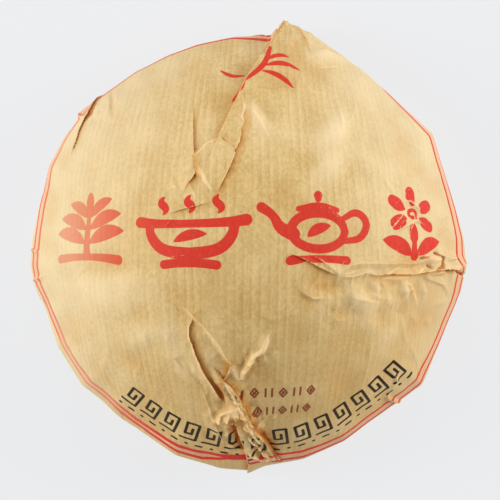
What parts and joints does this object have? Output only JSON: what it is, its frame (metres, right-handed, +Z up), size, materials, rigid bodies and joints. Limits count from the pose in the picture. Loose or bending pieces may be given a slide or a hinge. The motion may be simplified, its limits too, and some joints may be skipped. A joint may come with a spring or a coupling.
{
  "type": "wrapped tuocha tea cake",
  "caption": "Dome-shaped tea cake shut in one sheet of ribbed kraft paper, with a many-sided rim, a raised flap, creases and a tucked-in hollow base.",
  "frame": {"origin": "middle of the bounding box's base, on the flat ring that the cake rests on", "axes": "+Z up, out of the top of the dome; +Y towards the raised corner of the wrapper's flap; +X to the right of it, seen from above"},
  "size_m": [0.1106, 0.1137, 0.056],
  "materials": {
    "kraft_paper": "thin ribbed brown kraft paper with a faint gloss, red and black print"
  },
  "bodies": {
    "root": {"wrapped_tuocha": "kraft_paper"}
  },
  "joints": []
}
